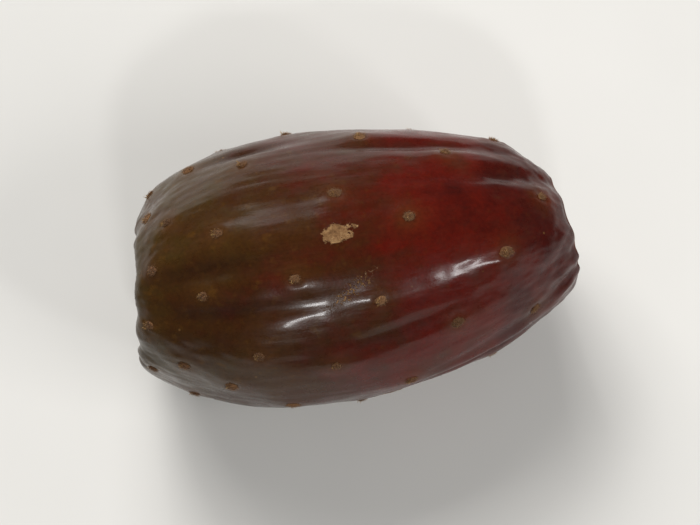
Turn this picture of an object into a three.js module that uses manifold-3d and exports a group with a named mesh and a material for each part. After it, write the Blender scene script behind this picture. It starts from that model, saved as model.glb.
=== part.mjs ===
// A ripe prickly pear, picked and lying on its side: one solid.
// Millimetres, +Z up. +X runs from the dished flower end to the cut stem end, and the fruit rests on z = 0.
import * as THREE from "three";
import { mergeVertices } from "three/addons/utils/BufferGeometryUtils.js";
import Module from "manifold-3d";

// Driving dimensions, in millimetres and degrees.
const HALF_LENGTH = 39.3;
const BELLY_RADIUS = 24.8;
const RIM_RADIUS = 12; // crest of the flower end's rim
const DISH_DEPTH = 5; // from the rim's crest down to the floor of the dish
const CUT_RADIUS = 10; // lip of the cut at the stem end
const FLATNESS = 0.955; // height over breadth of the oval section
const BEND = 1.2; // how far the ends stand off the line of the middle
const DISH_SLANT = 8; // the flower end looks a little to +Y
const CUT_SLANT = 9; // and so does the knife's cut
const SLANT_REACH = 12; // how far along the skin either slant is felt
const REST_PITCH = 1.8; // the tapered stem end dips until the weight is over the belly
const REST_FLAT_DEPTH = 0.4; // the belly is pressed flat by this much where it rests

// The outline from the middle of the flower dish to the middle of the cut, as [along the axis, radius].
const OUTLINE = [
  [DISH_DEPTH - HALF_LENGTH, 0],
  [DISH_DEPTH - HALF_LENGTH - 0.2, 4.4],
  [-36, 8],
  [-38.4, 10.2],
  [-HALF_LENGTH, RIM_RADIUS],
  [-37.8, 14.6],
  [-33.6, 18],
  [-27, 21.4],
  [-18.5, 24],
  [-8, BELLY_RADIUS],
  [4, 24.3],
  [16, 22.3],
  [25, 19.6],
  [31.4, 16.7],
  [36.2, 13.4],
  [HALF_LENGTH, CUT_RADIUS],
  [HALF_LENGTH - 0.4, 8.4],
  [HALF_LENGTH - 1.2, 0],
];
const RIM_STATION = 4; // the outline's point on the rim's crest
const LIP_STATION = 15; // and the one on the lip of the cut

// Mesh fineness: strips between the dish's middle, the rim, the lip and the cut's middle.
const SIDES = 60;
const STRIPS = { dish: 7, body: 37, cut: 4 };

// Areoles: the felted spots that carried the bristles, in one golden-angle spiral from rim to stem.
const AREOLES = {
  count: 53,
  crowding: 1.45, // above 1 they stand closer towards the flower end
  start: 126,
  flowerMargin: 3,
  stemMargin: 5,
  radius: 1.2,
  height: 0.75,
  sunk: 0.35,
  sides: 8,
  angleJitter: 7,
  alongJitter: 1.2,
};

// Each areole sits on a low mound that runs out towards the stem. Heights vary between these shares.
const MOUND = { height: 0.45, toFlower: 4, toStem: 8, across: 3.2, least: 0.7, most: 1.3 };

// Lengthwise creases of the ripe skin. The shallowest has this share of the full depth.
const CREASES = {
  count: 15,
  endMargin: 8,
  depth: 0.95,
  least: 0.45,
  width: 1.9,
  shortest: 8,
  longest: 19,
  slant: 0.12,
  angleJitter: 0.35, // as a share of the space between two
};

// Waves round the section, which turn a little along the fruit.
const LOBES = [
  { waves: 3, height: 0.45, start: 20, twist: 0.9 },
  { waves: 5, height: 0.35, start: 75, twist: -3 },
];

// Small folds that run over the rim and up to the lip of the cut.
const RIM_FOLDS = { waves: 11, height: 0.2, towardsFlower: 5, towardsStem: 5, uneven: 1.5 };
const LIP_FOLDS = { waves: 13, height: 0.22, towardsFlower: 8, towardsStem: 1, uneven: 2 };

// The random draws count their seeds from these numbers.
const SEEDS = {
  areole: { arc: 100, angle: 200, mound: 300 },
  crease: { arc: 400, angle: 500, reach: 600, depth: 700, slant: 800 },
};

// Body relief grows between these distances from the rim and from the lip, and folds between these radii.
const BODY_FADE = { rim: [-2, 6], lip: [-1, 6] };
const FOLD_FADE = [2, 8];

const { lerp, smoothstep, degToRad: radians } = THREE.MathUtils;
const GOLDEN_ANGLE = Math.PI * (3 - Math.sqrt(5));
const PROBE = { arc: 0.2, angle: 0.02 }; // small steps that find the skin's slope

const outline = new THREE.SplineCurve(OUTLINE.map(([along, radius]) => new THREE.Vector2(radius, along)));
outline.arcLengthDivisions = 100 * (OUTLINE.length - 1);
const stationLengths = outline.getLengths().filter((_, i) => i % 100 === 0);
const rimArc = stationLengths[RIM_STATION];
const lipArc = stationLengths[LIP_STATION];
const endArc = outline.getLength();

// A number from 0 to 1 that is the same each time for the same seed.
function draw(seed) {
  const wave = Math.sin(seed * 127.1 + 311.7) * 43758.5453;
  return wave - Math.floor(wave);
}

// From -1 to 1.
const swing = (seed) => 2 * draw(seed) - 1;

const bell = (distance, width) => Math.exp(-((distance / width) ** 2));

// The signed turn from one angle to another, from -PI to PI.
const turn = (from, to) => Math.atan2(Math.sin(to - from), Math.cos(to - from));

const areoles = Array.from({ length: AREOLES.count }, (_, k) => {
  const share = ((k + 0.5) / AREOLES.count) ** AREOLES.crowding;
  const arc = lerp(rimArc + AREOLES.flowerMargin, lipArc - AREOLES.stemMargin, share);
  return {
    arc: arc + AREOLES.alongJitter * swing(k + SEEDS.areole.arc),
    angle: k * GOLDEN_ANGLE + radians(AREOLES.start + AREOLES.angleJitter * swing(k + SEEDS.areole.angle)),
    mound: MOUND.height * lerp(MOUND.least, MOUND.most, draw(k + SEEDS.areole.mound)),
  };
});

const creases = Array.from({ length: CREASES.count }, (_, k) => ({
  arc: lerp(rimArc + CREASES.endMargin, lipArc - CREASES.endMargin, draw(k + SEEDS.crease.arc)),
  angle: ((k + CREASES.angleJitter * swing(k + SEEDS.crease.angle)) / CREASES.count) * 2 * Math.PI,
  reach: lerp(CREASES.shortest, CREASES.longest, draw(k + SEEDS.crease.reach)),
  depth: CREASES.depth * lerp(CREASES.least, 1, draw(k + SEEDS.crease.depth)),
  slant: CREASES.slant * swing(k + SEEDS.crease.slant),
}));

// Folds about one ring of the fruit, dying away on both sides of it.
function foldHeight(folds, fromRing, angle) {
  const reach = fromRing > 0 ? folds.towardsStem : folds.towardsFlower;
  const phase = folds.waves * angle + folds.uneven * Math.sin(2 * angle);
  return folds.height * bell(fromRing, reach) * Math.cos(phase);
}

// How far the skin stands off the plain outline, square to it.
function relief(arc, angle, radius) {
  let height = 0;
  for (const { waves, height: size, start, twist } of LOBES) {
    height += size * Math.cos(waves * angle + radians(start + twist * arc));
  }
  for (const areole of areoles) {
    const along = arc - areole.arc;
    const across = radius * turn(areole.angle, angle);
    const reach = along > 0 ? MOUND.toStem : MOUND.toFlower;
    height += areole.mound * bell(along, reach) * bell(across, MOUND.across);
  }
  for (const crease of creases) {
    const along = arc - crease.arc;
    const across = radius * turn(crease.angle, angle) - crease.slant * along;
    height -= crease.depth * bell(along, crease.reach) * bell(across, CREASES.width);
  }
  height *= smoothstep(arc - rimArc, ...BODY_FADE.rim) * smoothstep(lipArc - arc, ...BODY_FADE.lip);
  const folds = foldHeight(RIM_FOLDS, arc - rimArc, angle) + foldHeight(LIP_FOLDS, arc - lipArc, angle);
  return height + smoothstep(radius, ...FOLD_FADE) * folds;
}

// The skin's point at an arc length and an angle, before the fruit is laid down. Its axis is X.
function skinPoint(arc, angle) {
  const share = THREE.MathUtils.clamp(arc / endArc, 0, 1);
  const base = outline.getPointAt(share);
  const tangent = outline.getTangentAt(share);
  const height = relief(arc, angle, base.x);
  const radius = Math.max(0, base.x + tangent.y * height);
  const dishSlant = Math.tan(radians(DISH_SLANT)) * (1 - smoothstep(arc, rimArc, rimArc + SLANT_REACH));
  const cutSlant = Math.tan(radians(CUT_SLANT)) * smoothstep(arc, lipArc - SLANT_REACH, lipArc);
  const along = base.y - tangent.x * height + (dishSlant - cutSlant) * radius * Math.cos(angle);
  const across = radius * Math.cos(angle) + BEND * (along / HALF_LENGTH) ** 2;
  return new THREE.Vector3(along, across, radius * Math.sin(angle) * FLATNESS);
}

const wasm = await Module();
wasm.setup();

// A closed geometry as a solid.
function toSolid(geometry) {
  const bare = geometry.clone();
  bare.deleteAttribute("normal");
  bare.deleteAttribute("uv");
  const merged = mergeVertices(bare);
  const corners = merged.index.array;
  const triangles = [];
  for (let i = 0; i < corners.length; i += 3) {
    const [a, b, c] = corners.slice(i, i + 3);
    if (a !== b && b !== c && c !== a) triangles.push(a, b, c);
  }
  return new wasm.Manifold(
    new wasm.Mesh({
      numProp: 3,
      vertProperties: merged.attributes.position.array,
      triVerts: new Uint32Array(triangles),
    }),
  );
}

function toGeometry(solid) {
  const mesh = solid.getMesh();
  const geometry = new THREE.BufferGeometry();
  geometry.setAttribute("position", new THREE.BufferAttribute(mesh.vertProperties, 3));
  geometry.setIndex(new THREE.BufferAttribute(mesh.triVerts, 1));
  geometry.computeVertexNormals();
  return geometry;
}

// Evenly spaced arc lengths from one to another, without the last.
const spread = (from, to, strips) => Array.from({ length: strips }, (_, i) => lerp(from, to, i / strips));

// Skin: a turned grid whose points are then moved onto the relief.
function makeSkin() {
  const arcs = [
    ...spread(0, rimArc, STRIPS.dish),
    ...spread(rimArc, lipArc, STRIPS.body),
    ...spread(lipArc, endArc, STRIPS.cut),
    endArc,
  ];
  const profile = arcs.map((arc) => outline.getPointAt(arc / endArc));
  profile[0].x = 0;
  profile[arcs.length - 1].x = 0;
  const lathe = new THREE.LatheGeometry(profile, SIDES);
  const { position } = lathe.attributes;
  for (let i = 0; i < position.count; i += 1) {
    const side = Math.floor(i / arcs.length) % SIDES;
    const point = skinPoint(arcs[i % arcs.length], (side / SIDES) * 2 * Math.PI);
    position.setXYZ(i, point.x, point.y, point.z);
  }
  return toSolid(lathe);
}

// The direction straight out of the skin at one of its points.
function outwardsAt(arc, angle) {
  const middle = skinPoint(arc, angle);
  const onwards = skinPoint(arc + PROBE.arc, angle).sub(middle);
  const round = skinPoint(arc, angle + PROBE.angle).sub(middle);
  return round.cross(onwards).normalize();
}

// An areole: a low button, its root sunk well into the skin.
function makeAreole({ arc, angle }) {
  const outwards = outwardsAt(arc, angle);
  const button = new THREE.SphereGeometry(AREOLES.radius, AREOLES.sides, 4);
  button.rotateX(Math.PI / 2);
  button.scale(1, 1, AREOLES.height / AREOLES.radius);
  button.applyQuaternion(new THREE.Quaternion().setFromUnitVectors(new THREE.Vector3(0, 0, 1), outwards));
  const seat = skinPoint(arc, angle).addScaledVector(outwards, -AREOLES.sunk);
  button.translate(seat.x, seat.y, seat.z);
  return toSolid(button);
}

// A solid pitched as the fruit lies, with the corners of its box.
function pitched(solid) {
  const geometry = toGeometry(solid).rotateY(radians(REST_PITCH));
  geometry.computeBoundingBox();
  return { geometry, ...geometry.boundingBox };
}

// The whole fruit, laid down: its skin is pressed flat at the lowest place, and cut there by the surface.
function makeFruit() {
  const skin = makeSkin();
  const fruit = areoles.map(makeAreole).reduce((whole, areole) => whole.add(areole), skin);
  const { geometry, min, max } = pitched(fruit);
  const surface = pitched(skin).min.z + REST_FLAT_DEPTH;
  geometry.translate(-(min.x + max.x) / 2, -(min.y + max.y) / 2, -surface);
  const below = new THREE.BoxGeometry(4 * HALF_LENGTH, 4 * HALF_LENGTH, HALF_LENGTH);
  below.translate(0, 0, -HALF_LENGTH / 2);
  return toGeometry(toSolid(geometry).subtract(toSolid(below)));
}

const skinMaterial = new THREE.MeshStandardMaterial({ color: 0x6b211c, roughness: 0.42, metalness: 0 });
const fruit = new THREE.Mesh(makeFruit(), skinMaterial);
fruit.name = "prickly_pear";

const model = new THREE.Group();
model.add(fruit);

export default model;
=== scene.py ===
import math

import bpy
import numpy as np
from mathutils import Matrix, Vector, noise
from mathutils.bvhtree import BVHTree


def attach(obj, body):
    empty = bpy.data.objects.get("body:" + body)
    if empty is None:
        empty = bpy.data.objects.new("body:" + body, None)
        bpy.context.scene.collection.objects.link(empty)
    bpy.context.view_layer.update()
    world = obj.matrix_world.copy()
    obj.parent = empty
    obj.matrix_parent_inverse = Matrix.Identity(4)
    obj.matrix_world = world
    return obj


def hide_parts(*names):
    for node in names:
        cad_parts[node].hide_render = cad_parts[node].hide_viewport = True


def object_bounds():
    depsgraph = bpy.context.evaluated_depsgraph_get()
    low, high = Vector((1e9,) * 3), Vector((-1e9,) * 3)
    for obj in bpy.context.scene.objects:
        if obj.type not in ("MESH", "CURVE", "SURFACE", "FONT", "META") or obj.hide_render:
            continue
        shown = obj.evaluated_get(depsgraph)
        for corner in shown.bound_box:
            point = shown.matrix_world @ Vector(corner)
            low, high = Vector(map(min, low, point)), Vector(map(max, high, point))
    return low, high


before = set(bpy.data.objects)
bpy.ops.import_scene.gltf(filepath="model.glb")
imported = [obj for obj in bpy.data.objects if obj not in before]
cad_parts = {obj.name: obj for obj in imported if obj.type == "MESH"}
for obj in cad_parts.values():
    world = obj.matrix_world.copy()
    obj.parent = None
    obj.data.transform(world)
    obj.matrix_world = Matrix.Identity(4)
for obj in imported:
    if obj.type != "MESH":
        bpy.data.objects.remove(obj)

# A prickly pear lying on its side. Shapes are worked out in millimetres and go into the meshes in metres.
mm = 0.001
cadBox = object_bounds()
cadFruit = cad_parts["prickly_pear"]
print("frame loaded, CAD box", [[round(v / mm, 1) for v in corner] for corner in cadBox])

# the fruit's form, as in the solid
form = dict(
    halfLength=39.3,
    bellyRadius=24.8,
    rimRadius=12.0,       # crest of the flower end's rim
    dishDepth=5.0,
    cutRadius=10.0,       # lip of the cut at the stem end
    flatness=0.955,       # height over breadth
    bend=1.2,             # sideways, at the ends
    dishSlant=8.0,        # degrees
    cutSlant=9.0,
    slantReach=12.0,
    restPitch=1.8,        # degrees, flower end up
    lobes=[(3, 0.45, 20, 0.9), (5, 0.35, 75, -3.0)],       # waves, height, start, twist
    rimFolds=dict(waves=11, height=0.2, towardsFlower=5, towardsStem=5, uneven=1.5),
    lipFolds=dict(waves=13, height=0.22, towardsFlower=8, towardsStem=1, uneven=2),
    rimFade=(-2, 6),      # body relief grows between these distances from the rim
    lipFade=(-1, 6),
    foldFade=(2, 8),      # and folds between these radii
)
areoleRule = dict(
    count=53, crowding=1.45, start=126,
    flowerMargin=3, stemMargin=5,
    angleJitter=7, alongJitter=1.2,
)
mound = dict(height=0.45, toFlower=4, toStem=8, across=3.2, least=0.7, most=1.3)
creaseRule = dict(
    count=15, endMargin=8,
    depth=0.95, least=0.45, width=1.9,
    shortest=8, longest=19,
    slant=0.12, angleJitter=0.35,
)
# the random draws count their seeds from these numbers
seeds = dict(
    areoleArc=100, areoleAngle=200, mound=300,
    creaseArc=400, creaseAngle=500, creaseReach=600, creaseDepth=700, creaseSlant=800,
    feltSize=900, feltWorn=950,
    bristleCount=980, bristlesPerAreole=40, bristle=1000, bristleReach=13000,
    footAcross=7000, leanAlong=9000, leanAcross=11000,
    hairShare=20000, hairAngle=30000, hairAlong=40000, hairAcross=50000, hairReach=60000,
    bundleRing=5000, bundleAngle=5100, bundleSize=5200,
)

# from the middle of the dish to the middle of the cut: along the axis, radius
outline = np.array([
    (form["dishDepth"] - form["halfLength"], 0),
    (form["dishDepth"] - form["halfLength"] - 0.2, 4.4),
    (-36, 8),
    (-38.4, 10.2),
    (-form["halfLength"], form["rimRadius"]),
    (-37.8, 14.6),
    (-33.6, 18),
    (-27, 21.4),
    (-18.5, 24),
    (-8, form["bellyRadius"]),
    (4, 24.3),
    (16, 22.3),
    (25, 19.6),
    (31.4, 16.7),
    (36.2, 13.4),
    (form["halfLength"], form["cutRadius"]),
    (form["halfLength"] - 0.4, 8.4),
    (form["halfLength"] - 1.2, 0),
])
rimStation, lipStation = 4, 15       # the points on the rim's crest and on the lip of the cut
spanSteps = 100                      # between two points


def smoothOutline(points):
    # Catmull-Rom through the points, with the arc length at each step
    before = np.vstack([points[:1], points[:-1]])[:-1]
    after = np.vstack([points[2:], points[-1:]])
    t = np.linspace(0, 1, spanSteps, endpoint=False)[:, None]
    spans = []
    for p0, p1, p2, p3 in zip(before, points[:-1], points[1:], after):
        v0, v1 = (p2 - p0) / 2, (p3 - p1) / 2
        cubic, square = 2 * p1 - 2 * p2 + v0 + v1, -3 * p1 + 3 * p2 - 2 * v0 - v1
        spans.append(cubic * t ** 3 + square * t ** 2 + v0 * t + p1)
    line = np.vstack(spans + [points[-1:]])
    arcs = np.concatenate([[0], np.cumsum(np.linalg.norm(np.diff(line, axis=0), axis=1))])
    return line, arcs


outlineLine, outlineArcs = smoothOutline(outline)
outlineSlope = np.gradient(outlineLine, outlineArcs, axis=0)
rimArc = outlineArcs[spanSteps * rimStation]
lipArc = outlineArcs[spanSteps * lipStation]
endArc = outlineArcs[-1]
goldenAngle = math.pi * (3 - math.sqrt(5))


scatter = dict(step=127.1, start=311.7, stretch=43758.5453)


def draw(name, k):       # 0 to 1, the same each time
    wave = math.sin((seeds[name] + k) * scatter["step"] + scatter["start"]) * scatter["stretch"]
    return wave - math.floor(wave)


def swing(name, k):      # -1 to 1
    return 2 * draw(name, k) - 1


def lerp(a, b, share):
    return a + (b - a) * share


def bell(distance, width):
    return np.exp(-((distance / width) ** 2))


def smooth(value, low, high):
    share = np.clip((value - low) / (high - low), 0, 1)
    return share * share * (3 - 2 * share)


def turn(start, end):
    return np.arctan2(np.sin(end - start), np.cos(end - start))


def makeAreole(k):
    # one of a golden-angle spiral
    rule = areoleRule
    share = ((k + 0.5) / rule["count"]) ** rule["crowding"]
    arc = lerp(rimArc + rule["flowerMargin"], lipArc - rule["stemMargin"], share)
    start = rule["start"] + rule["angleJitter"] * swing("areoleAngle", k)
    return dict(
        arc=arc + rule["alongJitter"] * swing("areoleArc", k),
        angle=k * goldenAngle + math.radians(start),
        mound=mound["height"] * lerp(mound["least"], mound["most"], draw("mound", k)),
    )


def makeCrease(k):
    rule = creaseRule
    return dict(
        arc=lerp(rimArc + rule["endMargin"], lipArc - rule["endMargin"], draw("creaseArc", k)),
        angle=(k + rule["angleJitter"] * swing("creaseAngle", k)) / rule["count"] * 2 * math.pi,
        reach=lerp(rule["shortest"], rule["longest"], draw("creaseReach", k)),
        depth=rule["depth"] * lerp(rule["least"], 1, draw("creaseDepth", k)),
        slant=rule["slant"] * swing("creaseSlant", k),
    )


areoles = [makeAreole(k) for k in range(areoleRule["count"])]
creases = [makeCrease(k) for k in range(creaseRule["count"])]


def foldHeight(folds, fromRing, angle):
    # small folds about one ring of the fruit, dying away on both sides of it
    reach = np.where(fromRing > 0, folds["towardsStem"], folds["towardsFlower"])
    phase = folds["waves"] * angle + folds["uneven"] * np.sin(2 * angle)
    return folds["height"] * bell(fromRing, reach) * np.cos(phase)


def creaseHeight(arc, angle, radius):
    height = np.zeros_like(arc)
    for crease in creases:
        along = arc - crease["arc"]
        across = radius * turn(crease["angle"], angle) - crease["slant"] * along
        height -= crease["depth"] * bell(along, crease["reach"]) * bell(across, creaseRule["width"])
    return height


def relief(arc, angle, radius):
    # how far the skin of the solid stands off its plain outline
    height = creaseHeight(arc, angle, radius)
    for waves, size, start, twist in form["lobes"]:
        height = height + size * np.cos(waves * angle + np.radians(start + twist * arc))
    for areole in areoles:
        along = arc - areole["arc"]
        across = radius * turn(areole["angle"], angle)
        reach = np.where(along > 0, mound["toStem"], mound["toFlower"])
        height = height + areole["mound"] * bell(along, reach) * bell(across, mound["across"])
    height = height * smooth(arc - rimArc, *form["rimFade"]) * smooth(lipArc - arc, *form["lipFade"])
    folds = foldHeight(form["rimFolds"], arc - rimArc, angle)
    folds = folds + foldHeight(form["lipFolds"], arc - lipArc, angle)
    return height + smooth(radius, *form["foldFade"]) * folds


def placeOnSkin(arc, angle, lift=0.0):
    # the skin's points before the fruit is moved to where it lies
    arc, angle = np.asarray(arc, float), np.asarray(angle, float)
    x, radius = (np.interp(arc, outlineArcs, outlineLine[:, i]) for i in (0, 1))
    slopeX, slopeRadius = (np.interp(arc, outlineArcs, outlineSlope[:, i]) for i in (0, 1))
    height = relief(arc, angle, radius) + lift
    radius = np.maximum(0, radius + slopeX * height)
    dishSlant, cutSlant = (math.tan(math.radians(form[name])) for name in ("dishSlant", "cutSlant"))
    slant = dishSlant * (1 - smooth(arc, rimArc, rimArc + form["slantReach"]))
    slant = slant - cutSlant * smooth(arc, lipArc - form["slantReach"], lipArc)
    x = x - slopeRadius * height + slant * radius * np.cos(angle)
    y = radius * np.cos(angle) + form["bend"] * (x / form["halfLength"]) ** 2
    z = radius * np.sin(angle) * form["flatness"]
    pitch = math.radians(form["restPitch"])
    laidX = x * math.cos(pitch) + z * math.sin(pitch)
    laidZ = z * math.cos(pitch) - x * math.sin(pitch)
    return np.stack([laidX, y, laidZ], axis=-1)


# how the skin is laid on the solid
settling = dict(
    margin=2,             # kept clear of the rim and of the lip
    rows=24, columns=36,  # points that are tried
    rounds=8,
    farthest=4,           # points further off than this don't count
    lowest=1,             # and neither do those by the spot that is pressed flat
)


def shiftOntoCad():
    # slides the skin, without turning it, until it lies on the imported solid
    corners = [v.co / mm for v in cadFruit.data.vertices]
    tree = BVHTree.FromPolygons(corners, [p.vertices[:] for p in cadFruit.data.polygons])
    arcs = np.linspace(rimArc + settling["margin"], lipArc - settling["margin"], settling["rows"])
    angles = np.linspace(0, 2 * math.pi, settling["columns"], endpoint=False)
    arcs, angles = np.meshgrid(arcs, angles)
    points = placeOnSkin(arcs.ravel(), angles.ravel())
    shift = np.array([0, 0, cadBox[1][2] / mm / 2])
    for _ in range(settling["rounds"]):
        normals, gaps = [], []
        for point in points + shift:
            nearest, normal, _, distance = tree.find_nearest(Vector(point))
            if distance < settling["farthest"] and nearest.z > settling["lowest"]:
                normals.append(np.array(normal))
                gaps.append(np.dot(np.array(normal), np.array(nearest) - point))
        shift += np.linalg.lstsq(np.array(normals), np.array(gaps), rcond=None)[0]
    print("skin lies on the solid within", round(float(np.sqrt(np.mean(np.square(gaps)))), 3), "mm")
    return shift


settled = shiftOntoCad()


def onFruit(arc, angle, lift=0.0):
    # the skin's points where the fruit lies, pressed flat against the surface
    points = placeOnSkin(arc, angle, lift) + settled
    points[..., 2] = np.maximum(points[..., 2], 0)
    return points


probe = dict(arc=0.2, angle=0.02)      # small steps that find the skin's slope


def facing(arc, angle):
    # outward, along and across directions of the skin at one spot
    middle = placeOnSkin(arc, angle)
    onwards = placeOnSkin(arc + probe["arc"], angle)
    beside = placeOnSkin(arc, angle + probe["angle"])
    along = Vector(onwards - middle).normalized()
    outward = Vector(np.cross(beside - middle, onwards - middle)).normalized()
    return outward, along, outward.cross(along).normalized()


lumps = dict(
    seeds=dict(wrinkles=0, lumps=1, ragged=2, ribs=4, fibres=5),
    seedStep=(17.3, 5.1, 9.7),       # how far apart two seeds look
    fall=0.8, finer=2.0,             # each octave is weaker and finer by these
)


def fractal(spot, octaves):
    return noise.fractal(spot, lumps["fall"], lumps["finer"], octaves)


def noiseField(name, points, size, octaves):
    # soft noise, about -1 to 1, with lumps of that size in the points' own unit
    offset = Vector([lumps["seeds"][name] * step for step in lumps["seedStep"]])
    values = [fractal(Vector(p) / size + offset, octaves) for p in points.reshape(-1, 3)]
    return np.array(values).reshape(points.shape[:-1])


# helpers for meshes
def makeObject(name, vertices, faces, material):
    mesh = bpy.data.meshes.new(name)
    mesh.from_pydata((np.asarray(vertices) * mm).tolist(), [], faces)
    mesh.polygons.foreach_set("use_smooth", [True] * len(mesh.polygons))
    mesh.materials.append(material)
    thing = bpy.data.objects.new(name, mesh)
    bpy.context.scene.collection.objects.link(thing)
    return thing


def storeField(thing, name, values):
    field = thing.data.attributes.new(name, "FLOAT", "POINT")
    field.data.foreach_set("value", np.asarray(values, dtype=np.float32).ravel())


def storeVector(thing, name, values):
    field = thing.data.attributes.new(name, "FLOAT_VECTOR", "POINT")
    field.data.foreach_set("vector", np.asarray(values, dtype=np.float32).ravel())


# helpers for materials
def paint(red, green, blue):
    # an sRGB colour, 0 to 255, made linear for a node's socket
    shares = (red / 255, green / 255, blue / 255)
    linear = [c / 12.92 if c <= 0.04045 else ((c + 0.055) / 1.055) ** 2.4 for c in shares]
    return (*linear, 1.0)


def newMaterial(name):
    material = bpy.data.materials.new(name)
    material.use_nodes = True
    material.node_tree.nodes.clear()
    return material, material.node_tree


def addNode(tree, kind, inputs=None, **settings):
    node = tree.nodes.new("ShaderNode" + kind)
    for key, value in settings.items():
        setattr(node, key, value)
    for key, value in (inputs or {}).items():
        if isinstance(value, bpy.types.NodeSocket):
            tree.links.new(value, node.inputs[key])
        else:
            node.inputs[key].default_value = value
    return node


def placeNode(tree):
    return addNode(tree, "TexCoord").outputs["Object"]


def fieldNode(tree, name):
    return addNode(tree, "Attribute", attribute_name=name).outputs["Fac"]


def vectorNode(tree, name):
    return addNode(tree, "Attribute", attribute_name=name).outputs["Vector"]


def noiseNode(tree, place, size, detail=3.0, roughness=0.55, distortion=0.0):
    # size is the lump size in the place's own unit, metres for the object's own place
    node = addNode(tree, "TexNoise", {"Vector": place, "Scale": 1 / size, "Detail": detail,
                                      "Roughness": roughness, "Distortion": distortion})
    return node.outputs["Fac"]


def remap(tree, value, fromLow, fromHigh, low=0.0, high=1.0):
    limits = {0: value, 1: fromLow, 2: fromHigh, 3: low, 4: high}
    return addNode(tree, "MapRange", limits, clamp=True).outputs[0]


noiseSpan = (0.3, 0.7)      # nearly all values of a noise node lie in here


def spread(tree, value, low=0.0, high=1.0):
    # a noise node's values stretched over a range
    return remap(tree, value, *noiseSpan, low, high)


spotEdge = dict(outer=1.15, inner=0.75, pick=0.02)       # how softly a spot ends


def spotNode(tree, place, size, radius, share):
    # round spots at scattered points: a share of the cells has one
    cells = addNode(tree, "TexVoronoi", {"Vector": place, "Scale": 1 / size, "Randomness": 1.0})
    near = remap(tree, cells.outputs["Distance"], radius * spotEdge["outer"], radius * spotEdge["inner"])
    pick = addNode(tree, "SeparateColor", {0: cells.outputs["Color"]}).outputs[0]
    return times(tree, near, remap(tree, pick, share, share - spotEdge["pick"]))


def maths(tree, operation, a, b=0.0, c=None):
    inputs = {0: a, 1: b} if c is None else {0: a, 1: b, 2: c}
    return addNode(tree, "Math", inputs, operation=operation).outputs[0]


def times(tree, a, b):
    return maths(tree, "MULTIPLY", a, b)


def larger(tree, a, b):
    return maths(tree, "MAXIMUM", a, b)


def mixPaint(tree, share, under, over, how="MIX"):
    return addNode(tree, "Mix", {0: share, 6: under, 7: over}, data_type="RGBA", blend_type=how).outputs[2]


def rampNode(tree, value, stops):
    node = addNode(tree, "ValToRGB", {0: value})
    ramp = node.color_ramp
    while len(ramp.elements) < len(stops):
        ramp.elements.new(0.5)
    for element, (position, colour) in zip(ramp.elements, stops):
        element.position = position
        element.color = colour
    return node.outputs[0]


def bumpNode(tree, height, distance, strength=1.0, normal=None):
    inputs = {"Height": height, "Distance": distance, "Strength": strength}
    if normal is not None:
        inputs["Normal"] = normal
    return addNode(tree, "Bump", inputs).outputs[0]


def finishMaterial(tree, inputs):
    shader = addNode(tree, "BsdfPrincipled", inputs)
    addNode(tree, "OutputMaterial", {0: shader.outputs[0]})


# the skin, one piece from the middle of the dish to the middle of the cut
skin = dict(
    rings=dict(dish=60, body=210, cut=46),
    sides=288,
    wrinkle=0.08, wrinkleLength=12.0, wrinkleWidth=1.9,        # fine lengthwise wrinkles
    rimWrinkles=(1.0, 12), lipWrinkles=(1.3, 14),              # more of them at the ends, and how far
    rimFade=(-3, 2), lipFade=(-1.2, -0.2),                     # they start and stop over these distances
    lump=0.08, lumpSize=7.0,
    collar=0.05, collarRadius=1.9, collarWidth=0.7,            # little ring round each areole
    seat=0.10, seatWidth=1.4,
    haloWidth=2.6,
    scarHeight=0.14, scarRagged=0.25, scarEdge=(0, 0.6),
    raggedSize=1.6,                                            # what makes edges uneven
    middleWidth=2.4,                                           # dark middle of the dish and the cut
    spokeLength=30,
)
# dried dish of the flower end
dish = dict(
    corkRadius=7.6, corkRagged=0.35, corkEdge=(-0.3, 0.4),
    ring=0.26, ringWidth=0.5, ringRagged=0.5,                   # low ring where the flower fell off
    steps=[(5.6, 0.10, 0.35), (3.4, -0.28, 0.6)],               # rings inside it: radius, height, width
    # shadeWidth: width of the painted shade over the groove of the inner ring
    stepRagged=0.3, shadeWidth=1.1,
    navel=0.9, navelRadius=1.3,
    rib=0.22, ribCount=3.4,                                     # uneven, down the wall and over the rim
    ribStart=(-2, 1.5), ribEnd=(-1, 4.5),
)
# dry cut of the stem end
cut = dict(
    lipEdge=(-0.4, 0.25),
    rind=1.3, rindRagged=0.3, rindEdge=(-0.2, 0.7),
    sink=0.5, middleSink=0.35, middleRadius=2.6,
    fibre=0.14, fibreCount=5.0, fibreStart=(0.5, 3),
    bundles=19, bundleRing=6.1, ringJitter=0.8, angleJitter=0.3,
    bundleSize=0.5, bundleLeast=0.6, bundleMost=1.2, bundleHeight=0.13,
    cracks=[(0.3, 2.6, 8.2), (2.2, 0.4, 4.4), (4.7, 4.2, 8.4)],       # angle, from and to radius
    crackDepth=0.35, crackWidth=0.17, crackRagged=0.3, crackOpens=0.8, crackCloses=1.5,
)
# corky scars, whole or broken into flecks: distance along X from the middle, angle and turn in degrees
scars = dict(
    scar=[
        dict(along=-3.4, angle=91, length=6.8, width=3.4, turn=-6),
        dict(along=14.0, angle=-148, length=4.2, width=2.2, turn=25),
        dict(along=4.0, angle=196, length=5.0, width=1.6, turn=12),
    ],
    flecks=[
        dict(along=-2.4, angle=115, length=11.0, width=3.0, turn=-33),
        dict(along=-16.0, angle=-30, length=4.4, width=2.4, turn=-40),
    ],
)


def toAreoles(arc, angle, radius):
    # distance from each point to its nearest areole
    nearest = np.full(arc.shape, endArc)
    for areole in areoles:
        across = radius * turn(areole["angle"], angle)
        nearest = np.minimum(nearest, np.hypot(arc - areole["arc"], across))
    return nearest


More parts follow.
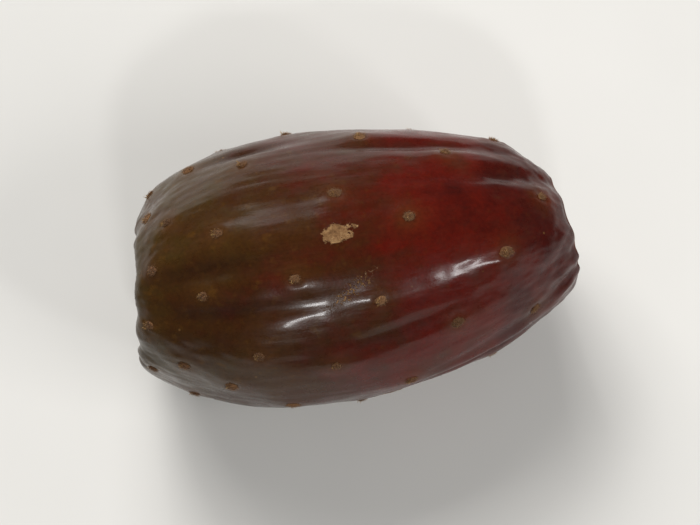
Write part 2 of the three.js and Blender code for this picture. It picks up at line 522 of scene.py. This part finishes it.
def scarShare(rows, arc, angle, radius):
    # 1 in the middle of a scar, 0 at its edge and less beyond
    share = np.full(arc.shape, -1.0)
    body = slice(spanSteps * rimStation, spanSteps * lipStation)
    for scar in rows:
        middle = np.interp(scar["along"], outlineLine[body, 0], outlineArcs[body])
        along, across = arc - middle, radius * turn(math.radians(scar["angle"]), angle)
        tilt = math.radians(scar["turn"])
        long = (along * math.cos(tilt) + across * math.sin(tilt)) / (scar["length"] / 2)
        wide = (across * math.cos(tilt) - along * math.sin(tilt)) / (scar["width"] / 2)
        share = np.maximum(share, 1 - np.hypot(long, wide))
    return share


def dishRelief(arc, radius, spokes, ragged, fields):
    inside = (arc < rimArc) * 1.0
    fromRing = radius - dish["corkRadius"]
    fields["dish"] = inside * smooth(dish["corkRagged"] * ragged - fromRing, *dish["corkEdge"])
    ribs = noiseField("ribs", spokes * dish["ribCount"], 1.0, 3)
    ribs = ribs * smooth(fromRing, *dish["ribStart"]) * (1 - smooth(arc - rimArc, *dish["ribEnd"]))
    height = dish["rib"] * ribs
    height += inside * dish["ring"] * bell(fromRing, dish["ringWidth"]) * (1 + dish["ringRagged"] * ragged)
    for ringRadius, rise, width in dish["steps"]:
        height += inside * rise * bell(radius - ringRadius + dish["stepRagged"] * ragged, width)
    height -= inside * dish["navel"] * bell(radius, dish["navelRadius"])
    # painted shade over the groove of the inner ring
    fields["dishShade"] = inside * bell(radius - dish["steps"][-1][0], dish["shadeWidth"])
    return height


def bundleShare(angle, radius):
    # 1 in the middle of a bundle of fibres, 0 away from it
    share = np.zeros_like(radius)
    for k in range(cut["bundles"]):
        ring = cut["bundleRing"] + cut["ringJitter"] * swing("bundleRing", k)
        around = (k + cut["angleJitter"] * swing("bundleAngle", k)) / cut["bundles"] * 2 * math.pi
        size = cut["bundleSize"] * lerp(cut["bundleLeast"], cut["bundleMost"], draw("bundleSize", k))
        apart = np.hypot(radius * np.cos(angle) - ring * math.cos(around),
                         radius * np.sin(angle) - ring * math.sin(around))
        share = np.maximum(share, bell(apart, size))
    return share


def crackShare(angle, radius, ragged):
    # 1 in the middle of a crack, 0 away from it
    share = np.zeros_like(radius)
    for around, start, end in cut["cracks"]:
        across = radius * np.sin(angle - around) + cut["crackRagged"] * ragged
        reach = smooth(radius, start, start + cut["crackOpens"])
        reach = reach * (1 - smooth(radius, end - cut["crackCloses"], end))
        reach = reach * (np.cos(angle - around) > 0)
        share = np.maximum(share, bell(across, cut["crackWidth"]) * reach)
    return share


def cutRelief(arc, angle, radius, spokes, ragged, fields):
    fields["cut"] = smooth(arc - lipArc, *cut["lipEdge"])
    rind = form["cutRadius"] - cut["rind"] + cut["rindRagged"] * ragged
    inside = fields["cut"] * smooth(rind - radius, *cut["rindEdge"])
    fields["flesh"] = inside
    height = -inside * (cut["sink"] + cut["middleSink"] * bell(radius, cut["middleRadius"]))
    fibres = noiseField("fibres", spokes * cut["fibreCount"], 1.0, 4)
    height += cut["fibre"] * inside * fibres * smooth(radius, *cut["fibreStart"])
    fields["bundle"] = bundleShare(angle, radius) * inside
    height += cut["bundleHeight"] * fields["bundle"]
    fields["crack"] = crackShare(angle, radius, ragged) * inside
    return height - cut["crackDepth"] * fields["crack"]


def fineRelief(arc, angle, radius, points, grain, spokes):
    # what the solid leaves out, with the masks that the shader reads
    ragged = noiseField("ragged", points, skin["raggedSize"], 3)
    fields = {name: scarShare(rows, arc, angle, radius) for name, rows in scars.items()}
    (rimMore, rimReach), (lipMore, lipReach) = skin["rimWrinkles"], skin["lipWrinkles"]
    ends = 1 + rimMore * bell(arc - rimArc, rimReach) + lipMore * bell(arc - lipArc, lipReach)
    body = smooth(arc - rimArc, *skin["rimFade"]) * (1 - smooth(arc - lipArc, *skin["lipFade"]))
    height = skin["wrinkle"] * noiseField("wrinkles", grain, 1.0, 2) * ends * body
    height += skin["lump"] * noiseField("lumps", points, skin["lumpSize"], 2) * body
    near = toAreoles(arc, angle, radius)
    height += skin["collar"] * bell(near - skin["collarRadius"], skin["collarWidth"])
    height -= skin["seat"] * bell(near, skin["seatWidth"])
    height += skin["scarHeight"] * smooth(fields["scar"] + skin["scarRagged"] * ragged, *skin["scarEdge"])
    height += dishRelief(arc, radius, spokes, ragged, fields)
    height += cutRelief(arc, angle, radius, spokes, ragged, fields)
    fields["halo"] = bell(near, skin["haloWidth"])
    fields["crease"] = np.clip(-creaseHeight(arc, angle, radius) / creaseRule["depth"], 0, 1) * body
    fields["middle"] = bell(radius, skin["middleWidth"])
    return height, fields


def ringArcs():
    marks = (0, rimArc, lipArc, endArc)
    spans = zip(marks, marks[1:], skin["rings"].values())
    parts = [np.linspace(start, end, count, endpoint=False) for start, end, count in spans]
    return np.concatenate(parts + [[endArc]])


def makeSkin(material):
    arcs, sides = ringArcs(), skin["sides"]
    arc, angle = np.meshgrid(arcs, np.arange(sides) / sides * 2 * math.pi, indexing="ij")
    radius = np.interp(arc, outlineArcs, outlineLine[:, 1])
    # places for noise: drawn out along the fruit, and in spokes round its ends
    wide = radius / skin["wrinkleWidth"]
    grain = np.stack([arc / skin["wrinkleLength"], wide * np.cos(angle), wide * np.sin(angle)], axis=-1)
    spokes = np.stack([np.cos(angle), np.sin(angle), radius / skin["spokeLength"]], axis=-1)
    height, fields = fineRelief(arc, angle, radius, placeOnSkin(arc, angle), grain, spokes)
    points = onFruit(arc, angle, height)
    fields["ripeness"] = (arc - rimArc) / (lipArc - rimArc)

    def poled(values):
        # one point for each end ring
        flat = values.reshape(len(arcs), sides, -1)
        return np.vstack([flat[0].mean(0), flat[1:-1].reshape(-1, flat.shape[-1]), flat[-1].mean(0)])

    rows = len(arcs) - 2
    ring, side = np.meshgrid(np.arange(rows - 1), np.arange(sides), indexing="ij")
    here = 1 + ring * sides + side
    after = 1 + ring * sides + (side + 1) % sides
    quads = np.stack([here, after, after + sides, here + sides], axis=-1)
    last = rows * sides + 1
    caps = [(0, 1 + (s + 1) % sides, 1 + s) for s in range(sides)]
    caps += [(last, last - sides + s, last - sides + (s + 1) % sides) for s in range(sides)]
    thing = makeObject("waxySkin", poled(points), quads.reshape(-1, 4).tolist() + caps, material)
    for name, values in fields.items():
        storeField(thing, name, poled(values))
    storeVector(thing, "grain", poled(grain))
    storeVector(thing, "spokes", poled(spokes))
    return thing


skinColours = dict(
    ripe=[      # from the flower end to the stem end
        (0.00, paint(60, 44, 9)),
        (0.20, paint(59, 35, 5)),
        (0.40, paint(58, 27, 4)),
        (0.54, paint(65, 20, 4)),
        (0.74, paint(81, 12, 2)),
        (1.00, paint(57, 7, 2)),
    ],
    freckle=paint(84, 54, 12),
    halo=paint(88, 54, 22),
    speck=paint(116, 84, 46),
    bloom=paint(124, 84, 62),
    # creaseShade is painted shade, multiplied into the skin along the creases
    creaseShade=(0.42, 0.34, 0.36, 1.0),
    scar=[(0.0, paint(77, 52, 32)), (0.45, paint(126, 93, 61)), (1.0, paint(160, 127, 89))],
    dish=[(0.0, paint(58, 38, 20)), (0.5, paint(104, 76, 44)), (1.0, paint(146, 116, 76))],
    dishDark=paint(44, 28, 15),
    rind=[(0.0, paint(58, 16, 12)), (1.0, paint(104, 58, 30))],
    flesh=[(0.0, paint(92, 64, 36)), (0.5, paint(142, 110, 70)), (1.0, paint(178, 150, 108))],
    fleshDark=paint(70, 46, 26),
)
skinNoise = dict(      # lump size, detail, roughness and distortion
    # sizes are metres, or shares of the grain or the spokes for what is drawn out along them
    patches=(0.016, 3), blotches=(0.0042, 4, 0.6, 0.4), streaks=(1.6, 4, 0.6),
    freckles=(0.0019, 2, 0.5),
    shade=(0.0007, 3, 0.6),
    film=(0.011, 4, 0.65, 0.6), rubbed=(0.5, 4, 0.7),
    scarEdge=(0.0014, 5, 0.65), scarDots=(0.0005, 3, 0.6), cork=(0.0011, 4, 0.7),
    dish=(0.0013, 5, 0.7), dishStreaks=(0.16, 4, 0.6),
    cut=(0.0017, 5, 0.7), cutStreaks=(0.10, 5, 0.65), rind=(0.0022, 4, 0.6),
    gloss=(0.0025, 4, 0.6),
    pores=(0.00045, 2, 0.5), wrinkles=(0.34, 3, 0.5), crumbs=(0.0006, 4, 0.7),
)
skinShares = dict(
    patches=0.34, blotches=0.16, streaks=0.12,      # what each adds to the ripeness at most
    ripeStart=0.28,                                 # taken off again, so that the middle stays
    # marks come in over the two values given for them
    freckles=(0.60, 0.74), unripe=(0.15, 0.75, 0.5, 0.08),      # from 0.5 of them on less ripe skin to 0.08
    film=(0.42, 0.72), rubbed=(0.35, 0.6), creaseFilm=0.5,
    scar=(-0.02, 0.1), flecks=(-0.1, 0.35), scarDots=(0.53, 0.61),
    scarRagged=(-0.5, 0.35),                        # how far a scar's edge goes in and out
    # crease: how strongly the painted shade darkens the creases
    halo=0.34, crease=0.6,
    shade=(0.82, 1.14),                             # darkest and palest of the finest mottling
    specks=dict(size=0.0042, radius=0.055, share=0.34), speckPaint=0.5,
    # dishShade: strength of the painted shade in the inner ring's groove
    dish=0.92, dishTone=0.6, dishStreaks=0.4, dishShade=0.7, dishDark=0.85,
    cutTone=0.5, cutStreaks=0.5, bundle=0.55, cutMiddle=0.5, rind=(0.35, 0.65),
)
skinFinish = dict(
    glossy=0.21, dull=0.34,       # roughness of the rubbed and of the waxy skin
    dry=0.82,                     # and of cork and dry flesh
    film=0.08,                    # strength of the bloom
    filmRoughness=0.12, filmCoat=0.8,       # what the bloom adds to the one and takes from the other
    coat=0.30,                    # thin wax that gives small bright highlights
    # bumps, each with its height in metres and its strength
    pores=(0.00003, 0.55), wrinkles=(0.00006, 0.4), crumbs=(0.0003, 0.8),
)


def skinNoiseNode(tree, place, name):
    return noiseNode(tree, place, *skinNoise[name])


def ripeSkin(tree, place, grain):
    # ripeness, mottled in patches, blotches and lengthwise streaks
    colours, shares = skinColours, skinShares
    ripe = fieldNode(tree, "ripeness")
    for name, where in (("patches", place), ("blotches", place), ("streaks", grain)):
        mottling = spread(tree, skinNoiseNode(tree, where, name))
        ripe = maths(tree, "MULTIPLY_ADD", mottling, shares[name], ripe)
    ripe = maths(tree, "SUBTRACT", ripe, shares["ripeStart"])
    colour = rampNode(tree, ripe, colours["ripe"])
    freckles = remap(tree, skinNoiseNode(tree, place, "freckles"), *shares["freckles"])
    freckles = times(tree, freckles, remap(tree, ripe, *shares["unripe"]))
    colour = mixPaint(tree, freckles, colour, colours["freckle"])
    halo = times(tree, fieldNode(tree, "halo"), shares["halo"])
    colour = mixPaint(tree, halo, colour, colours["halo"])
    # painted shade: the skin is darker along the creases, the deeper the crease the darker
    crease = times(tree, fieldNode(tree, "crease"), shares["crease"])
    colour = mixPaint(tree, crease, colour, colours["creaseShade"], "MULTIPLY")
    shade = spread(tree, skinNoiseNode(tree, place, "shade"), *shares["shade"])
    shade = addNode(tree, "CombineColor", {0: shade, 1: shade, 2: shade}).outputs[0]
    colour = mixPaint(tree, 1.0, colour, shade, "MULTIPLY")
    specks = times(tree, spotNode(tree, place, **shares["specks"]), shares["speckPaint"])
    return mixPaint(tree, specks, colour, colours["speck"])


def waxFilm(tree, place, grain):
    # thin and rubbed off in places, thicker in the creases
    film = remap(tree, skinNoiseNode(tree, place, "film"), *skinShares["film"])
    rubbed = remap(tree, skinNoiseNode(tree, grain, "rubbed"), *skinShares["rubbed"])
    film = larger(tree, film, times(tree, fieldNode(tree, "crease"), skinShares["creaseFilm"]))
    return times(tree, film, rubbed)


def corkyScars(tree, place):
    # ragged patches, and flecks where a scar is broken up
    shares = skinShares
    ragged = spread(tree, skinNoiseNode(tree, place, "scarEdge"), *shares["scarRagged"])
    whole = remap(tree, maths(tree, "ADD", fieldNode(tree, "scar"), ragged), *shares["scar"])
    dots = remap(tree, skinNoiseNode(tree, place, "scarDots"), *shares["scarDots"])
    broken = remap(tree, maths(tree, "ADD", fieldNode(tree, "flecks"), ragged), *shares["flecks"])
    return larger(tree, whole, times(tree, dots, broken))


def driedDish(tree, place, spokes):
    colours, shares = skinColours, skinShares
    streaks = times(tree, skinNoiseNode(tree, spokes, "dishStreaks"), shares["dishStreaks"])
    tone = maths(tree, "MULTIPLY_ADD", skinNoiseNode(tree, place, "dish"), shares["dishTone"], streaks)
    colour = rampNode(tree, spread(tree, tone), colours["dish"])
    # painted shade darkens the groove of the inner ring; the middle of the dish is darker too
    ringShade = times(tree, fieldNode(tree, "dishShade"), shares["dishShade"])
    dark = times(tree, larger(tree, fieldNode(tree, "middle"), ringShade), shares["dishDark"])
    return mixPaint(tree, dark, colour, colours["dishDark"])


def dryCut(tree, place, spokes):
    # the flesh with its bundles and cracks, inside a ring of rind
    colours, shares = skinColours, skinShares
    streaks = times(tree, skinNoiseNode(tree, spokes, "cutStreaks"), shares["cutStreaks"])
    tone = maths(tree, "MULTIPLY_ADD", skinNoiseNode(tree, place, "cut"), shares["cutTone"], streaks)
    flesh = rampNode(tree, spread(tree, tone), colours["flesh"])
    dark = larger(tree, fieldNode(tree, "crack"), times(tree, fieldNode(tree, "bundle"), shares["bundle"]))
    dark = larger(tree, dark, times(tree, fieldNode(tree, "middle"), shares["cutMiddle"]))
    flesh = mixPaint(tree, dark, flesh, colours["fleshDark"])
    rind = remap(tree, skinNoiseNode(tree, place, "rind"), *shares["rind"])
    return mixPaint(tree, fieldNode(tree, "flesh"), rampNode(tree, rind, colours["rind"]), flesh)


def makeSkinMaterial():
    material, tree = newMaterial("waxy skin")
    finish = skinFinish
    place, grain, spokes = placeNode(tree), vectorNode(tree, "grain"), vectorNode(tree, "spokes")
    scar, corky, cutFace = corkyScars(tree, place), fieldNode(tree, "dish"), fieldNode(tree, "cut")
    film = waxFilm(tree, place, grain)
    colour = ripeSkin(tree, place, grain)
    colour = mixPaint(tree, times(tree, film, finish["film"]), colour, skinColours["bloom"])
    cork = rampNode(tree, spread(tree, skinNoiseNode(tree, place, "cork")), skinColours["scar"])
    colour = mixPaint(tree, scar, colour, cork)
    dishShare = times(tree, corky, skinShares["dish"])
    colour = mixPaint(tree, dishShare, colour, driedDish(tree, place, spokes))
    colour = mixPaint(tree, cutFace, colour, dryCut(tree, place, spokes))

    dry = larger(tree, larger(tree, scar, corky), cutFace)
    roughness = spread(tree, skinNoiseNode(tree, place, "gloss"), finish["glossy"], finish["dull"])
    roughness = maths(tree, "MULTIPLY_ADD", film, finish["filmRoughness"], roughness)
    roughness = larger(tree, roughness, times(tree, dry, finish["dry"]))
    coat = maths(tree, "SUBTRACT", 1.0, larger(tree, dry, times(tree, film, finish["filmCoat"])))
    coat = times(tree, coat, finish["coat"])
    normal = bumpNode(tree, skinNoiseNode(tree, place, "pores"), *finish["pores"])
    normal = bumpNode(tree, skinNoiseNode(tree, grain, "wrinkles"), *finish["wrinkles"], normal)
    crumbs = times(tree, skinNoiseNode(tree, place, "crumbs"), dry)
    normal = bumpNode(tree, crumbs, *finish["crumbs"], normal)
    finishMaterial(tree, {"Base Color": colour, "Roughness": roughness, "Normal": normal,
                          "IOR": 1.45, "Specular IOR Level": 0.24,
                          "Coat Weight": coat, "Coat Roughness": 0.11, "Coat IOR": 1.4})
    return material


skinPiece = makeSkin(makeSkinMaterial())
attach(skinPiece, "root")
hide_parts("prickly_pear")
print("skin made,", len(skinPiece.data.polygons), "faces")

# areoles: a felt cushion each, of short matted hairs, with the bristles that brushing left
felt = dict(
    long=1.45, wide=1.1,               # half sizes
    height=0.30, root=0.35, dome=2.2,
    dent=0.12, dentSize=0.45,          # worn hollow in the middle
    tuft=0.15, tuftSize=0.36,
    ragged=0.22, lobes=1.8,            # how uneven its edge is, and how finely
    seedStep=3.1,
    smallest=0.72, largest=1.1,
    rings=12, sides=32,
)
hair = dict(
    count=250, spread=0.84,
    shortest=0.26, longest=0.58, thick=0.015, sides=3,
    lean=1.1, tangle=0.7, curl=0.6,
    sunk=0.03,
    tips=(0.2, 0.6, 1),                # how much of the pale tip shows at foot, middle and end
)
bristle = dict(
    most=12,
    shortest=0.35, longest=0.95, thick=0.035, sides=4,
    lean=0.9, spread=0.9,
    foot=0.1, back=0.1, further=0.75, aside=0.7,      # where it stands on the felt
)
taper = 0.8      # width of a hair or bristle half way up


def feltRise(share, size, spot):
    # height of the cushion over the skin, from its middle, 0, to its edge, 1
    dome = (felt["height"] * size + felt["root"]) * (1 - share ** felt["dome"]) - felt["root"]
    dent = felt["dent"] * math.exp(-((share / felt["dentSize"]) ** 2))
    return dome - dent + felt["tuft"] * fractal(spot / felt["tuftSize"], 3) * (1 - share ** 4)


def feltSpot(areole, share, angle):
    # a point of the cushion's top, from its middle, share 0, to its edge, share 1
    lobes, seed = felt["lobes"], areole["k"] * felt["seedStep"]
    rim = noise.noise(Vector((lobes * math.cos(angle), lobes * math.sin(angle), seed)))
    reach = areole["size"] * share * (1 + felt["ragged"] * rim)
    spot = areole["centre"] + areole["along"] * (math.cos(angle) * felt["long"] * reach)
    spot += areole["across"] * (math.sin(angle) * felt["wide"] * reach)
    return spot + areole["outward"] * feltRise(share, areole["size"], spot)


def addSpike(vertices, faces, foot, start, end, reach, thick, sides):
    # a thin hair that sets out in one direction and ends in another
    one = start.orthogonal().normalized()
    two = start.cross(one)
    first = len(vertices)
    middle = foot + start * (reach / 2)
    for level, width in ((foot, thick), (middle, taper * thick)):
        for side in range(sides):
            angle = 2 * math.pi * side / sides
            vertices.append(level + (one * math.cos(angle) + two * math.sin(angle)) * width)
    vertices.append(middle + end * (reach / 2))
    faces.append(tuple(range(first + sides - 1, first - 1, -1)))
    for side in range(sides):
        a, b = first + side, first + (side + 1) % sides
        faces.append((a, b, b + sides, a + sides))
        faces.append((a + sides, b + sides, first + 2 * sides))


def placeAreoles():
    # those that aren't pressed away where the fruit rests
    placed = []
    for k, areole in enumerate(areoles):
        centre = Vector(onFruit(areole["arc"], areole["angle"]))
        if centre.z > 2 * felt["height"]:
            outward, along, across = facing(areole["arc"], areole["angle"])
            size = lerp(felt["smallest"], felt["largest"], draw("feltSize", k))
            placed.append(dict(k=k, centre=centre, outward=outward, along=along, across=across, size=size))
    return placed


def makeFelt(material):
    vertices, faces, worn, tips = [], [], [], []
    sides = felt["sides"]
    for areole in placedAreoles:
        first = len(vertices)
        vertices.append(feltSpot(areole, 0, 0))
        for ring in range(1, felt["rings"] + 1):
            for side in range(sides):
                vertices.append(feltSpot(areole, ring / felt["rings"], 2 * math.pi * side / sides))
        for side in range(sides):
            after = (side + 1) % sides
            faces.append((first, first + 1 + side, first + 1 + after))
            for ring in range(felt["rings"] - 1):
                a, b = first + 1 + ring * sides, first + 1 + (ring + 1) * sides
                faces.append((a + side, b + side, b + after, a + after))
        tips += [0] * (len(vertices) - first)
        for n in range(hair["count"]):
            n += hair["count"] * areole["k"]
            share = hair["spread"] * math.sqrt(draw("hairShare", n))
            angle = 2 * math.pi * draw("hairAngle", n)
            foot = feltSpot(areole, share, angle) - areole["outward"] * hair["sunk"]
            aside = areole["along"] * math.cos(angle) + areole["across"] * math.sin(angle)
            tangle = areole["along"] * swing("hairAlong", n) + areole["across"] * swing("hairAcross", n)
            start = areole["outward"] + aside * hair["lean"] * share + tangle * hair["tangle"]
            start = start.normalized()
            end = (start + tangle.cross(areole["outward"]) * hair["curl"]).normalized()
            reach = lerp(hair["shortest"], hair["longest"], draw("hairReach", n))
            addSpike(vertices, faces, foot, start, end, reach, hair["thick"], hair["sides"])
            atFoot, atMiddle, atEnd = hair["tips"]
            tips += [atFoot] * hair["sides"] + [atMiddle] * hair["sides"] + [atEnd]
        worn += [draw("feltWorn", areole["k"])] * (len(vertices) - first)
    thing = makeObject("areoleFelt", [(v.x, v.y, max(v.z, 0)) for v in vertices], faces, material)
    storeField(thing, "worn", worn)
    storeField(thing, "tip", tips)
    return thing


def makeBristles(material):
    vertices, faces = [], []
    for areole in placedAreoles:
        for n in range(round(bristle["most"] * draw("bristleCount", areole["k"]))):
            n += seeds["bristlesPerAreole"] * areole["k"]
            # they stand in the half of the areole that looks to the flower end
            foot = areole["centre"] + areole["outward"] * bristle["foot"]
            back = bristle["back"] + bristle["further"] * draw("bristle", n)
            aside = areole["across"] * bristle["aside"] * swing("footAcross", n)
            foot += aside - areole["along"] * back
            lean = areole["across"] * bristle["spread"] * swing("leanAcross", n)
            lean -= areole["along"] * bristle["lean"] * draw("leanAlong", n)
            direction = (areole["outward"] + lean).normalized()
            reach = lerp(bristle["shortest"], bristle["longest"], draw("bristleReach", n))
            if foot.z > 2 * bristle["longest"]:
                thick, sides = bristle["thick"], bristle["sides"]
                addSpike(vertices, faces, foot, direction, direction, reach, thick, sides)
    return makeObject("areoleBristles", [tuple(v) for v in vertices], faces, material)


feltColours = dict(
    tufts=[(0.0, paint(58, 36, 22)), (0.45, paint(102, 69, 44)), (1.0, paint(146, 109, 74))],
    dark=paint(60, 38, 23),       # old felt
    pale=paint(154, 116, 80),     # fresh felt and the hairs' tips
)
feltFinish = dict(
    tufts=(0.00022, 4, 0.75), tuftSpan=(0.3, 0.72),
    old=(0.6, 1.0, 0.0, 0.45), fresh=(0.35, 0.0, 0.0, 0.5),      # areoles from worn to fresh
    tips=0.85,
    fluff=(0.00012, 3, 0.8), fluffBump=(0.00008, 0.8),
)
bristleColours = [(0.0, paint(112, 76, 36)), (0.5, paint(170, 130, 74)), (1.0, paint(206, 176, 120))]
bristleNoise = (0.0006, 2, 0.6)


def makeFeltMaterial():
    material, tree = newMaterial("areole felt")
    place, worn = placeNode(tree), fieldNode(tree, "worn")
    colours, finish = feltColours, feltFinish
    tufts = remap(tree, noiseNode(tree, place, *finish["tufts"]), *finish["tuftSpan"])
    colour = rampNode(tree, tufts, colours["tufts"])
    colour = mixPaint(tree, remap(tree, worn, *finish["old"]), colour, colours["dark"])
    colour = mixPaint(tree, remap(tree, worn, *finish["fresh"]), colour, colours["pale"])
    tips = times(tree, fieldNode(tree, "tip"), finish["tips"])
    colour = mixPaint(tree, tips, colour, colours["pale"])
    normal = bumpNode(tree, noiseNode(tree, place, *finish["fluff"]), *finish["fluffBump"])
    finishMaterial(tree, {"Base Color": colour, "Roughness": 0.95, "Normal": normal,
                          "Specular IOR Level": 0.2, "Sheen Weight": 0.12, "Sheen Roughness": 0.5})
    return material


def makeBristleMaterial():
    material, tree = newMaterial("bristle")
    tone = spread(tree, noiseNode(tree, placeNode(tree), *bristleNoise))
    colour = rampNode(tree, tone, bristleColours)
    finishMaterial(tree, {"Base Color": colour, "Roughness": 0.4})
    return material


placedAreoles = placeAreoles()
areolePieces = (
    (makeFelt(makeFeltMaterial()), "felt"),
    (makeBristles(makeBristleMaterial()), "bristle"),
)
for piece, slotName in areolePieces:
    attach(piece, "root")
    print(piece.name, "made,", len(piece.data.polygons), "faces")

# floor, light and camera
studio = dict(
    floorSize=6.0,
    floorDrop=0.05,       # millimetres under the fruit, so that the two don't flicker
    floorTones=[(0.0, paint(218, 217, 214)), (1.0, paint(221, 220, 217))],
    floorNoise=(0.05, 4, 0.5),
    distance=0.56,
    azimuth=-10.4,
    elevation=75.0,
    fruitShare=0.64,      # of the picture's width
    aim=(0.0, 0.0, 0.022),
    worldStrength=0.15,
    worldColour=(0.98, 0.98, 0.97, 1.0),
    # the broad lights shade the fruit softly, and the small ones give the wax its highlights
    lights=[
        dict(name="keyLight", place=(-0.18, 0.95, 0.90), size=(1.0, 0.7), power=15.0,
             warm=True, shine=False),
        dict(name="keyShine", place=(-0.18, 0.95, 0.90), size=(0.36, 0.24), power=4.4,
             warm=True, shine=True),
        dict(name="fillLight", place=(0.80, -0.54, 0.77), size=(0.6, 0.45), power=5.0,
             warm=True, shine=False),
        dict(name="frontLight", place=(-0.02, -0.86, 0.81), size=(0.12, 0.08), power=2.3,
             warm=False, shine=True),
        dict(name="sideLight", place=(0.65, -0.78, 0.61), size=(0.12, 0.08), power=1.6,
             warm=False, shine=True),
    ],
    warmColour=(1.0, 0.985, 0.96),
    plainColour=(1.0, 1.0, 1.0),
)


def makeFloor():
    material, tree = newMaterial("pale floor")
    tone = spread(tree, noiseNode(tree, placeNode(tree), *studio["floorNoise"]))
    colour = rampNode(tree, tone, studio["floorTones"])
    finishMaterial(tree, {"Base Color": colour, "Roughness": 0.95, "Specular IOR Level": 0.1})
    half, level = studio["floorSize"] / 2 / mm, -studio["floorDrop"]
    corners = [(x * half, y * half, level) for x, y in ((-1, -1), (1, -1), (1, 1), (-1, 1))]
    makeObject("floor", corners, [(0, 1, 2, 3)], material)


def addLight(name, place, size, power, warm, shine):
    light = bpy.data.lights.new(name, "AREA")
    light.shape = "RECTANGLE"
    light.size, light.size_y = size
    light.energy = power
    light.color = studio["warmColour" if warm else "plainColour"]
    lamp = bpy.data.objects.new(name, light)
    lamp.location = place
    lamp.visible_glossy = shine
    lamp.rotation_euler = (Vector(studio["aim"]) - Vector(place)).to_track_quat("-Z", "Y").to_euler()
    bpy.context.scene.collection.objects.link(lamp)


def makeWorld():
    world = bpy.data.worlds.new("studio")
    world.use_nodes = True
    back = world.node_tree.nodes["Background"]
    back.inputs["Color"].default_value = studio["worldColour"]
    back.inputs["Strength"].default_value = studio["worldStrength"]
    bpy.context.scene.world = world


def makeCamera():
    data = bpy.data.cameras.new("camera")
    camera = bpy.data.objects.new("camera", data)
    turned, raised = math.radians(studio["azimuth"]), math.radians(studio["elevation"])
    level = math.cos(raised)
    back = Vector((math.sin(turned) * level, -math.cos(turned) * level, math.sin(raised)))
    camera.location = Vector(studio["aim"]) + back * studio["distance"]
    camera.rotation_euler = back.to_track_quat("Z", "Y").to_euler()
    length = cadBox[1][0] - cadBox[0][0]
    data.lens = data.sensor_width * studio["distance"] * studio["fruitShare"] / length
    data.clip_start = 0.01
    bpy.context.scene.collection.objects.link(camera)
    bpy.context.scene.camera = camera


makeFloor()
for lightRow in studio["lights"]:
    addLight(**lightRow)
makeWorld()
makeCamera()
bpy.context.scene.view_settings.view_transform = "Standard"
print("studio made")
